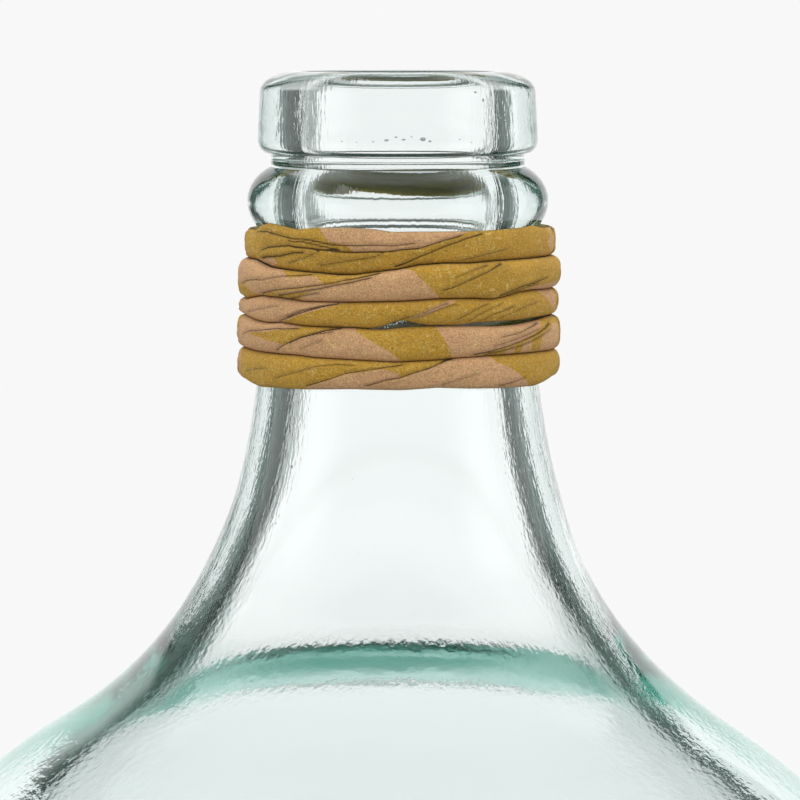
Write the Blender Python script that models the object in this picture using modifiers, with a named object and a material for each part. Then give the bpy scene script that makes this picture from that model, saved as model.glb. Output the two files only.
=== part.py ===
"""Bottle vase: a heavy recycled-glass bottle with a twisted paper cord wound round its neck.

The bottle is one turned piece of glass. Its lip, groove and bead stand on the outside of a smooth,
slightly tapering bore. The cord is one unbroken length in five turns, held at the back by two dabs of glue.
Metres, +Z up, origin on the surface that the bottle stands on, at the middle of its base.
"""
import math

import bmesh
import bpy
from mathutils import Matrix, Vector

# The whole bottle
HEIGHT = 0.410
BODY_RADIUS = 0.130
WIDEST_DEPTH = 0.235
TURN_STEPS = 56

# The mouth: a thick rolled lip, the groove under it and a rounded bead
MOUTH_RADIUS = 0.0210
MOUTH_EDGE_ROUND = 0.0022
LIP_RADIUS = 0.0310
LIP_HEIGHT = 0.0182
LIP_TAPER = 0.0005
LIP_TOP_DROP = 0.0046
LIP_FLAT = 0.0005
LIP_FOOT_ROUND = 0.0032
GROOVE_RADIUS = 0.0281
GROOVE_HEIGHT = 0.0025
BEAD_RADIUS = 0.0333
BEAD_RISE = 0.0078
BEAD_FALL = 0.0070

# The neck and its flare down to the steepest point of the shoulder, and how full each curve is
NECK_RADIUS = 0.0296
NECK_WALL = 0.0074
FLARE_DEPTH = 0.1448
FLARE_RADIUS = 0.0748
FLARE_ANGLE = math.radians(57.1)
FLARE_WALL = 0.0070
FLARE_FULLNESS = (0.55, 0.35)
BORE_FULLNESS = (0.62, 0.33)
SHOULDER_FULLNESS = (0.53, 0.34)

# The body, the heel and the base with its push-up
BODY_WALL = 0.0055
HEEL_FULLNESS = (0.62, 0.75)
FOOT_RADIUS = 0.0840
FOOT_WIDTH = 0.0040
PUSH_UP = 0.0120
BASE_THICKNESS = 0.0090

# The paper cord, pressed slightly flat by its winding, and the glue at its ends
CORD_WIDTH = 0.0064
CORD_THICKNESS = 0.0046
CORD_TURNS = 5
TURN_GAP = 0.0007
WRAP_TOP_GAP = 0.0005
STEP_SHARE = 0.24
STEP_AZIMUTH = math.radians(90)
POINTS_A_TURN = 24
CORD_SIDES = 6
GLUE_LENGTH = 0.0080
GLUE_HEIGHT = 0.0070
GLUE_THICKNESS = 0.0040

# What touches keeps this clearance
SEAT_GAP = 0.0003


def curve_between(start, start_way, start_pull, end, end_way, end_pull, count):
    """Points of a cubic curve, as (depth, radius), without its first point."""
    first = (start[0] + start_way[0] * start_pull, start[1] + start_way[1] * start_pull)
    last = (end[0] - end_way[0] * end_pull, end[1] - end_way[1] * end_pull)
    points = []
    for step in range(1, count + 1):
        t = step / count
        weights = ((1 - t) ** 3, 3 * (1 - t) ** 2 * t, 3 * (1 - t) * t ** 2, t ** 3)
        corners = (start, first, last, end)
        depth = sum(weight * corner[0] for weight, corner in zip(weights, corners))
        radius = sum(weight * corner[1] for weight, corner in zip(weights, corners))
        points.append((depth, radius))
    return points


def elliptic_arc(centre, depth_reach, radius_reach, start_angle, end_angle, count):
    """Points of an ellipse's arc, as (depth, radius), both ends among them."""
    points = []
    for step in range(count + 1):
        angle = start_angle + (end_angle - start_angle) * step / count
        depth = centre[0] + depth_reach * math.sin(angle)
        radius = centre[1] + radius_reach * math.cos(angle)
        points.append((depth, radius))
    return points


def mouth_rounds():
    """The roundings of the lip's top, outside and inside, either side of its narrow level ring."""
    top_wall = LIP_RADIUS - LIP_TAPER - MOUTH_RADIUS - LIP_FLAT
    inside = min(MOUTH_EDGE_ROUND, top_wall / 3)
    return top_wall - inside, inside


def bead_foot_depth():
    return LIP_HEIGHT + GROOVE_HEIGHT + BEAD_RISE + BEAD_FALL


def neck_outline():
    """The outside from the bead's foot down to the steepest point of the shoulder."""
    start = (bead_foot_depth(), NECK_RADIUS)
    end = (FLARE_DEPTH, FLARE_RADIUS)
    reach = FLARE_DEPTH - start[0]
    slope = (math.cos(FLARE_ANGLE), math.sin(FLARE_ANGLE))
    pulls = [share * reach for share in FLARE_FULLNESS]
    return [start] + curve_between(start, (1, 0), pulls[0], end, slope, pulls[1], 13)


def mouth_outline():
    """The outside of the lip, the groove and the bead, from the lip's top to the bead's foot."""
    outside, _ = mouth_rounds()
    shoulder = LIP_RADIUS - LIP_TAPER
    foot_round = min(LIP_FOOT_ROUND, LIP_RADIUS - GROOVE_RADIUS)
    quarter = math.pi / 2
    points = elliptic_arc((LIP_TOP_DROP, shoulder - outside), LIP_TOP_DROP, outside, -quarter, 0, 5)
    foot_centre = (LIP_HEIGHT - LIP_FOOT_ROUND, LIP_RADIUS - foot_round)
    points += elliptic_arc(foot_centre, LIP_FOOT_ROUND, foot_round, 0, quarter, 3)
    bead_centre = (LIP_HEIGHT + GROOVE_HEIGHT + BEAD_RISE, GROOVE_RADIUS)
    reach = BEAD_RADIUS - GROOVE_RADIUS
    points += elliptic_arc(bead_centre, BEAD_RISE, reach, -quarter, 0, 5)
    foot_reach = BEAD_RADIUS - NECK_RADIUS
    fall = elliptic_arc((bead_centre[0], NECK_RADIUS), BEAD_FALL, foot_reach, 0, quarter, 4)
    return points + fall[1:-1]


def body_outline():
    """The outside from the shoulder's steepest point to the resting ring, then the push-up."""
    start = (FLARE_DEPTH, FLARE_RADIUS)
    widest = (WIDEST_DEPTH, BODY_RADIUS)
    foot = (HEIGHT, FOOT_RADIUS)
    slope = (math.cos(FLARE_ANGLE), math.sin(FLARE_ANGLE))
    drop = WIDEST_DEPTH - FLARE_DEPTH
    pulls = [share * drop for share in SHOULDER_FULLNESS]
    points = curve_between(start, slope, pulls[0], widest, (1, 0), pulls[1], 8)
    heel_pulls = (HEEL_FULLNESS[0] * (HEIGHT - WIDEST_DEPTH), HEEL_FULLNESS[1] * (BODY_RADIUS - FOOT_RADIUS))
    points += curve_between(widest, (1, 0), heel_pulls[0], foot, (0, -1), heel_pulls[1], 10)
    return points + [(HEIGHT - rise, radius) for rise, radius in push_up(FOOT_RADIUS - FOOT_WIDTH, 5)]


def push_up(edge_radius, count):
    """The domed base from its edge to its middle, as (rise, radius)."""
    shares = [1 - step / count for step in range(count + 1)]
    return [(PUSH_UP * (1 - share ** 2), edge_radius * share) for share in shares]


def inner_outline():
    """The inside from the mouth's edge down to the middle of the floor."""
    _, edge = mouth_rounds()
    quarter = math.pi / 2
    points = elliptic_arc((edge, MOUTH_RADIUS + edge), edge, -edge, -quarter, 0, 3)
    start = (bead_foot_depth(), NECK_RADIUS - NECK_WALL)
    slope = (math.cos(FLARE_ANGLE), math.sin(FLARE_ANGLE))
    steepest = (FLARE_DEPTH + FLARE_WALL * slope[1], FLARE_RADIUS - FLARE_WALL * slope[0])
    reach = steepest[0] - start[0]
    points.append(start)
    points += curve_between(start, (1, 0), BORE_FULLNESS[0] * reach,
                            steepest, slope, BORE_FULLNESS[1] * reach, 9)
    widest = (WIDEST_DEPTH, BODY_RADIUS - BODY_WALL)
    drop = widest[0] - steepest[0]
    pulls = [share * drop for share in SHOULDER_FULLNESS]
    points += curve_between(steepest, slope, pulls[0], widest, (1, 0), pulls[1], 6)
    floor_radius = FOOT_RADIUS - FOOT_WIDTH
    floor_edge = (HEIGHT - BASE_THICKNESS, floor_radius)
    heel_pulls = (HEEL_FULLNESS[0] * (floor_edge[0] - widest[0]), HEEL_FULLNESS[1] * (widest[1] - floor_radius))
    points += curve_between(widest, (1, 0), heel_pulls[0], floor_edge, (0, -1), heel_pulls[1], 8)
    floor = [(floor_edge[0] - rise, radius) for rise, radius in push_up(floor_radius, 4)]
    return points + floor[1:]


def outline_radius(outline, depth):
    """The outline's radius at a depth below the lip's top."""
    for upper, lower in zip(outline, outline[1:]):
        if upper[0] <= depth <= lower[0] and lower[0] > upper[0]:
            share = (depth - upper[0]) / (lower[0] - upper[0])
            return upper[1] + share * (lower[1] - upper[1])
    return outline[-1][1]


def material(name, colour, roughness, transmission=0.0):
    made = bpy.data.materials.new(name)
    made.use_nodes = True
    shader = made.node_tree.nodes["Principled BSDF"]
    shader.inputs["Base Color"].default_value = (*colour, 1.0)
    shader.inputs["Roughness"].default_value = roughness
    shader.inputs["Metallic"].default_value = 0.0
    shader.inputs["Transmission Weight"].default_value = transmission
    return made


def turned(name, outline, collection):
    """A solid of revolution from an outline of (depth, radius) that runs down its outer side."""
    mesh = bpy.data.meshes.new(name)
    corners = [(radius, 0.0, HEIGHT - depth) for depth, radius in outline]
    edges = [(index, index + 1) for index in range(len(corners) - 1)]
    mesh.from_pydata(corners, edges, [])
    made = bpy.data.objects.new(name, mesh)
    collection.objects.link(made)
    screw = made.modifiers.new("turn", "SCREW")
    screw.axis = "Z"
    screw.steps = TURN_STEPS
    screw.render_steps = TURN_STEPS
    screw.use_merge_vertices = True
    screw.merge_threshold = 0.00001
    screw.use_smooth_shade = True
    return made


def glass_bottle(collection):
    inside = list(reversed(inner_outline()))
    outside = mouth_outline() + neck_outline() + body_outline()
    made = turned("glass_bottle", inside + outside, collection)
    made.data.materials.append(material("recycled_glass", (0.80, 0.90, 0.87), 0.03, 1.0))
    return made


def cord_route():
    """Level turns from the top down, each joined to the next by a smooth step at the back."""
    neck = neck_outline()
    pitch = CORD_WIDTH + TURN_GAP
    first_depth = bead_foot_depth() + WRAP_TOP_GAP + CORD_WIDTH / 2
    chord = math.cos(math.pi / POINTS_A_TURN)
    start_angle = STEP_AZIMUTH + math.pi * STEP_SHARE
    count = round((CORD_TURNS - STEP_SHARE) * POINTS_A_TURN)
    points = []
    for index in range(count + 1):
        turn, share = divmod(index / POINTS_A_TURN, 1)
        stepping = min(1, max(0, (share - (1 - STEP_SHARE)) / STEP_SHARE))
        eased = stepping * stepping * (3 - 2 * stepping)
        depth = first_depth + pitch * (turn + eased)
        radius = (outline_radius(neck, depth) + SEAT_GAP + CORD_THICKNESS / 2) / chord
        angle = start_angle + 2 * math.pi * index / POINTS_A_TURN
        points.append(Vector((radius * math.cos(angle), radius * math.sin(angle), HEIGHT - depth)))
    return points


def least_gap(route):
    """The smallest clearance between one turn of the cord and the next."""
    half_turn = POINTS_A_TURN // 2
    fine = 6
    dense = [a.lerp(b, step / fine) for a, b in zip(route, route[1:]) for step in range(fine)]
    apart = half_turn * fine
    distances = [(dense[i] - dense[j]).length for i in range(len(dense)) for j in range(i + apart, len(dense))]
    return min(distances) - CORD_WIDTH


def cord_wrap(collection, guides):
    route = cord_route()
    print(f"cord_wrap: {len(route)} points, least gap to itself {1000 * least_gap(route):.2f} mm")
    section = bpy.data.curves.new("cord_section", "CURVE")
    ring = section.splines.new("POLY")
    ring.points.add(CORD_SIDES - 1)
    for index, point in enumerate(ring.points):
        angle = -2 * math.pi * index / CORD_SIDES
        point.co = (CORD_THICKNESS / 2 * math.cos(angle), CORD_WIDTH / 2 * math.sin(angle), 0, 1)
    ring.use_cyclic_u = True
    guide = bpy.data.objects.new("cord_section", section)
    guides.objects.link(guide)
    guide.hide_render = True
    guide.display_type = "WIRE"

    curve = bpy.data.curves.new("cord_wrap", "CURVE")
    curve.dimensions = "3D"
    curve.twist_mode = "Z_UP"
    curve.bevel_mode = "OBJECT"
    curve.bevel_object = guide
    curve.use_fill_caps = True
    spline = curve.splines.new("POLY")
    spline.points.add(len(route) - 1)
    for point, place in zip(spline.points, route):
        point.co = (*place, 1)
    spline.use_smooth = True
    made = bpy.data.objects.new("cord_wrap", curve)
    collection.objects.link(made)
    curve.materials.append(material("twisted_paper", (0.46, 0.31, 0.13), 0.9))
    return route


def neck_clearance(guides):
    """The neck's outside grown by the seating gap, which hollows the glue to fit the glass."""
    neck = neck_outline()
    grown = [(depth, radius + SEAT_GAP) for depth, radius in neck]
    cutter = turned("neck_clearance", [(neck[0][0], 0.0)] + grown + [(neck[-1][0], 0.0)], guides)
    cutter.hide_render = True
    cutter.display_type = "WIRE"
    return cutter


def glue_dab(name, end, inward, cutter, collection):
    """A dab of clear glue over a cut end of the cord, flat against the end and hollowed to the glass."""
    outward = -inward.normalized()
    upward = Vector((0, 0, 1))
    radial = outward.cross(upward).normalized()
    if radial.dot(Vector((end.x, end.y, 0))) < 0:
        radial = -radial
    reach = outline_radius(neck_outline(), HEIGHT - end.z)
    base = end + outward * SEAT_GAP - radial * (end.dot(radial) - reach)
    # The ball's pole lies along the cord, so that half of it is left past the cord's end.
    axes = Matrix((radial * GLUE_THICKNESS, upward * (GLUE_HEIGHT / 2), outward * GLUE_LENGTH)).transposed()
    mesh = bpy.data.meshes.new(name)
    ball = bmesh.new()
    bmesh.ops.create_uvsphere(ball, u_segments=16, v_segments=8, radius=1.0)
    whole = ball.verts[:] + ball.edges[:] + ball.faces[:]
    cut = bmesh.ops.bisect_plane(ball, geom=whole, dist=1e-5, plane_co=(0, 0, 0), plane_no=(0, 0, 1),
                                 clear_inner=True)
    rim = [part for part in cut["geom_cut"] if isinstance(part, bmesh.types.BMEdge)]
    bmesh.ops.contextual_create(ball, geom=rim)
    bmesh.ops.transform(ball, matrix=Matrix.Translation(base) @ axes.to_4x4(), verts=ball.verts[:])
    bmesh.ops.recalc_face_normals(ball, faces=ball.faces[:])
    ball.to_mesh(mesh)
    ball.free()
    mesh.shade_smooth()
    mesh.set_sharp_from_angle(angle=math.radians(40))
    made = bpy.data.objects.new(name, mesh)
    collection.objects.link(made)
    hollow = made.modifiers.new("seat on the glass", "BOOLEAN")
    hollow.operation = "DIFFERENCE"
    hollow.object = cutter
    mesh.materials.append(material(name, (0.78, 0.76, 0.68), 0.35))
    return made


def collection_named(name):
    made = bpy.data.collections.new(name)
    bpy.context.scene.collection.children.link(made)
    return made


for left_over in list(bpy.data.objects):
    bpy.data.objects.remove(left_over, do_unlink=True)

vase = collection_named("bottle_vase")
guides = collection_named("cutters_and_guides")
glass_bottle(vase)
route = cord_wrap(vase, guides)
cutter = neck_clearance(guides)
glue_dab("glue_dab_start", route[0], route[1] - route[0], cutter, vase)
glue_dab("glue_dab_end", route[-1], route[-2] - route[-1], cutter, vase)
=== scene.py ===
"""Looks of the bottle vase: a thick recycled-glass bottle with a twisted paper cord on its neck."""
import math
import random

import bmesh
import bpy
import numpy as np
from mathutils import Matrix, Vector
from mathutils.bvhtree import BVHTree


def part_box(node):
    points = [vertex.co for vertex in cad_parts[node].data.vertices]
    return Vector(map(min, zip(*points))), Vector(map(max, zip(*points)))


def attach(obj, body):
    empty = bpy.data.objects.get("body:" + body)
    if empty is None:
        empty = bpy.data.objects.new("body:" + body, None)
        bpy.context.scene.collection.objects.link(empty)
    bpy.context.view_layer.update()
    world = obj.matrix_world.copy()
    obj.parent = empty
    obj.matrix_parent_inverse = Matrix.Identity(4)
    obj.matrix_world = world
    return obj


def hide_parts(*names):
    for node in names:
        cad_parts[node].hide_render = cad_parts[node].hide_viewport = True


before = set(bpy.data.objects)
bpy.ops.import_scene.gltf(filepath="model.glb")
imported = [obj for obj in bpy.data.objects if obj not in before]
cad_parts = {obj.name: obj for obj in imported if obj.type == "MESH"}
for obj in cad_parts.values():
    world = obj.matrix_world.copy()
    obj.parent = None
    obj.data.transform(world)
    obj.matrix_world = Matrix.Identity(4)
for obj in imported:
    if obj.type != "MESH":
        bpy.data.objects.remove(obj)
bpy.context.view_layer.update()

scene = bpy.context.scene

# The camera: a long lens a little above the lip's level, looking slightly down at the neck.
# Only the mouth, the neck and the top of the shoulder are in the frame, as in the photograph.
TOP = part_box("glass_bottle")[1].z
CAMERA_DISTANCE = 1.20
CAMERA_ABOVE_LIP = 0.015
AIM = Vector((0.0003, 0.0, TOP - 0.0728))
FRAME_WIDTH = 0.1775
PHOTO_PIXELS = 800
SENSOR_WIDTH = 36.0
FARTHEST_SEEN = 50.0

camera = bpy.data.objects.new("camera", bpy.data.cameras.new("camera"))
scene.collection.objects.link(camera)
scene.camera = camera
camera.location = (0.0, -CAMERA_DISTANCE, TOP + CAMERA_ABOVE_LIP)
sight = AIM - camera.location
camera_turn = sight.to_track_quat("-Z", "Y")
camera.rotation_euler = camera_turn.to_euler()
camera.data.sensor_width = SENSOR_WIDTH
camera.data.lens = SENSOR_WIDTH * sight.length / FRAME_WIDTH
camera.data.clip_end = FARTHEST_SEEN

# The bottle: recycled soda-lime glass, blown into a mould, with the lip and the bead pressed on while hot.
# One wall, thick at the mouth, thin in the flare and thick again where glass gathered in the shoulder.
# Its skin is fire-polished, and slightly wavy all over from the mould and the uneven cooling.
BODY_RADIUS = 0.130
WIDEST_DEPTH = 0.235
LIP_RADIUS = 0.0310
LIP_TAPER = 0.0005
LIP_HEIGHT = 0.0182
LIP_TOP_DROP = 0.0046
LIP_FLAT = 0.0005
LIP_FOOT_ROUND = 0.0032
GROOVE_RADIUS = 0.0281
GROOVE_HEIGHT = 0.0027
BEAD_RADIUS = 0.0333
BEAD_RISE = 0.0076
BEAD_FALL = 0.0070
BEAD_SHOULDERS = (math.radians(59), math.radians(56))
MOUTH_RADIUS = 0.0210
MOUTH_EDGE_ROUND = 0.0010
NECK_RADIUS = 0.0296
FLARE_DEPTH = 0.1448
FLARE_RADIUS = 0.0748
FLARE_ANGLE = math.radians(57.1)
FLARE_FULLNESS = (0.55, 0.35)
SHOULDER_FULLNESS = (0.53, 0.34)
HEEL_FULLNESS = (0.62, 0.75)
FOOT_RADIUS = 0.0840
FOOT_WIDTH = 0.0040
PUSH_UP = 0.0120
BASE_THICKNESS = 0.0090
NECK_FOOT = LIP_HEIGHT + GROOVE_HEIGHT + BEAD_RISE + BEAD_FALL
WALL_END = 0.260
QUARTER = math.pi / 2

# Knots of (depth below the lip, value): the wall's thickness, how far the inner skin stands out at the back
# of the shoulder and drifts at the left, how far the bottle leans, and how wavy and rippled its skins are.
WALL = ((NECK_FOOT, 0.0080), (0.085, 0.0081), (0.104, 0.0080), (0.113, 0.0078), (0.122, 0.0082),
        (0.130, 0.0095), (0.140, 0.0118), (0.150, 0.0131), (0.165, 0.0136), (0.300, 0.0100))
BACK_LUMP = ((0.122, 0.0), (0.130, -0.0012), (0.140, -0.0028), (0.145, -0.0027), (0.160, 0.0018),
             (0.300, 0.0018), (0.370, 0.0))
SIDE_DRIFT = ((0.092, 0.0), (0.102, 0.0005), (0.134, 0.0005), (0.139, 0.0))
LEAN = ((0.095, -0.0002), (0.108, -0.0009), (0.130, -0.0010), (0.139, -0.0014), (0.146, -0.0023),
        (0.153, -0.0023), (0.235, 0.0))
OUTER_WAVES = ((0.0, 0.00004), (0.060, 0.00003), (0.160, 0.00003), (0.240, 0.00012), (0.360, 0.00012),
               (0.400, 0.0))
INNER_WAVES = ((0.0, 0.00010), (0.060, 0.00006), (0.160, 0.00006), (0.240, 0.00025), (0.400, 0.00025))
OUTER_RIPPLE = ((0.0, 0.000016), (0.085, 0.000014), (0.100, 0.000010), (0.400, 0.000010))
INNER_RIPPLE = ((0.0, 0.000060), (0.085, 0.000050), (0.100, 0.000040), (0.125, 0.000050), (0.400, 0.000050))
UNMOVED = ((0.0, 0.0),)
SOFTENING = (-0.0030, -0.0020, -0.0010, 0.0, 0.0010, 0.0020, 0.0030)
SPOKES = 180
WAVE_SIZE = 0.016
WAVE_STRETCH = 0.4
LEFT_DRIFT = 1.0
RIGHT_DRIFT = -0.6
MERGE_DISTANCE = 0.000002
GLASS_IOR = 1.52
IRON_GREEN = "#B8E6DE"
IRON_DENSITY = 10.0
RIPPLES_A_METRE = 1100.0
RIPPLE_STRETCH = 0.25
RIPPLE_SPREAD = -0.5


def at_depth(knots, depth):
    """A value that changes evenly between its knots, with the corners softened."""
    depths, values = zip(*knots)
    return float(np.mean([np.interp(depth + shift, depths, values) for shift in SOFTENING]))


def bend(start, start_way, start_pull, end, end_way, end_pull, count):
    """A smooth curve between two points of the outline, without the first."""
    pulls = (start, (start[0] + start_way[0] * start_pull, start[1] + start_way[1] * start_pull),
             (end[0] - end_way[0] * end_pull, end[1] - end_way[1] * end_pull), end)
    points = []
    for t in (step / count for step in range(1, count + 1)):
        shares = ((1 - t) ** 3, 3 * (1 - t) ** 2 * t, 3 * (1 - t) * t ** 2, t ** 3)
        points.append(tuple(sum(share * pull[k] for share, pull in zip(shares, pulls)) for k in (0, 1)))
    return points


def arc(depth, radius, depth_reach, radius_reach, start, end, count):
    """Points along an ellipse's arc, both ends among them."""
    angles = [start + (end - start) * step / count for step in range(count + 1)]
    return [(depth + depth_reach * math.sin(a), radius + radius_reach * math.cos(a)) for a in angles]


def neck_and_body():
    """The outer face from the bead's foot to the resting ring, as (depth, radius) points."""
    slope = (math.cos(FLARE_ANGLE), math.sin(FLARE_ANGLE))
    reach = FLARE_DEPTH - NECK_FOOT
    steepest = (FLARE_DEPTH, FLARE_RADIUS)
    points = bend((NECK_FOOT, NECK_RADIUS), (1, 0), FLARE_FULLNESS[0] * reach,
                  steepest, slope, FLARE_FULLNESS[1] * reach, count=110)
    drop = WIDEST_DEPTH - FLARE_DEPTH
    widest = (WIDEST_DEPTH, BODY_RADIUS)
    points += bend(steepest, slope, SHOULDER_FULLNESS[0] * drop, widest, (1, 0),
                   SHOULDER_FULLNESS[1] * drop, count=64)
    heel = TOP - WIDEST_DEPTH
    return points + bend(widest, (1, 0), HEEL_FULLNESS[0] * heel, (TOP, FOOT_RADIUS), (0, -1),
                         HEEL_FULLNESS[1] * (BODY_RADIUS - FOOT_RADIUS), count=46)


def lip_and_bead():
    """The outer face of the mouth: rounded lip, groove and bead."""
    lip_reach = LIP_RADIUS - LIP_TAPER - MOUTH_RADIUS - MOUTH_EDGE_ROUND - LIP_FLAT
    shoulder = LIP_RADIUS - LIP_TAPER - lip_reach
    points = arc(LIP_TOP_DROP, shoulder, LIP_TOP_DROP, lip_reach, -QUARTER, 0, count=14)
    side = LIP_HEIGHT - LIP_FOOT_ROUND - LIP_TOP_DROP
    points += [(LIP_TOP_DROP + side * k / 8, LIP_RADIUS - LIP_TAPER * (1 - k / 8)) for k in range(1, 8)]
    inset = LIP_RADIUS - GROOVE_RADIUS
    points += arc(LIP_HEIGHT - LIP_FOOT_ROUND, GROOVE_RADIUS, LIP_FOOT_ROUND, inset, 0, QUARTER, count=10)
    points.append((LIP_HEIGHT + GROOVE_HEIGHT / 2, GROOVE_RADIUS))
    bead = LIP_HEIGHT + GROOVE_HEIGHT + BEAD_RISE
    upper, lower = BEAD_SHOULDERS
    bulge = (BEAD_RADIUS - GROOVE_RADIUS) / (1 - math.cos(upper))
    points += arc(bead, BEAD_RADIUS - bulge, BEAD_RISE / math.sin(upper), bulge, -upper, 0, count=16)
    bulge = (BEAD_RADIUS - NECK_RADIUS) / (1 - math.cos(lower))
    below = arc(bead, BEAD_RADIUS - bulge, BEAD_FALL / math.sin(lower), bulge, 0, lower, count=12)
    return points + below[1:]


def bore(outer):
    """The inner face: a near-straight bore, the wall's thickness inside the outer face, then the floor."""
    wall = []
    for before, here, after in zip(outer, outer[1:], outer[2:]):
        if here[0] > WALL_END:
            break
        way = Vector((after[0] - before[0], after[1] - before[1])).normalized()
        thickness = at_depth(WALL, here[0])
        wall.append((here[0] + thickness * way[1], here[1] - thickness * way[0]))
    mouth = (MOUTH_EDGE_ROUND, MOUTH_RADIUS)
    points = arc(mouth[0], mouth[1] + MOUTH_EDGE_ROUND, MOUTH_EDGE_ROUND, -MOUTH_EDGE_ROUND,
                 -QUARTER, 0, count=6)
    points += [tuple(m + (w - m) * k / 24 for m, w in zip(mouth, wall[0])) for k in range(1, 24)]
    points += wall
    edge = FOOT_RADIUS - FOOT_WIDTH
    foot = (TOP - BASE_THICKNESS, edge)
    points += bend(wall[-1], (1, 0), HEEL_FULLNESS[0] * (foot[0] - wall[-1][0]), foot, (0, -1),
                   HEEL_FULLNESS[1] * (wall[-1][1] - edge), count=30)
    return points + [(foot[0] - PUSH_UP * (1 - (k / 10) ** 2), edge * k / 10) for k in range(9, -1, -1)]


def add(tree, kind, links=(), **settings):
    """Adds a node, sets its properties or inputs by name, and links (source, input) pairs to it.

    A source is an output, or a node that stands for its first output.
    """
    node = tree.nodes.new(kind)
    for name, value in settings.items():
        if hasattr(node, name):
            setattr(node, name, value)
    for name, value in settings.items():
        if not hasattr(node, name):
            key = int(name[5:]) if name.startswith("input") else name.replace("_", " ")
            node.inputs[key].default_value = value
    for source, target in links:
        output = source.outputs[0] if isinstance(source, bpy.types.Node) else source
        tree.links.new(output, node.inputs[target])
    return node


def linear(colour):
    """An sRGB hex colour as linear values with alpha."""
    parts = [int(colour[i:i + 2], 16) / 255 for i in (1, 3, 5)]
    return [c / 12.92 if c <= 0.04045 else ((c + 0.055) / 1.055) ** 2.4 for c in parts] + [1.0]


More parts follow.
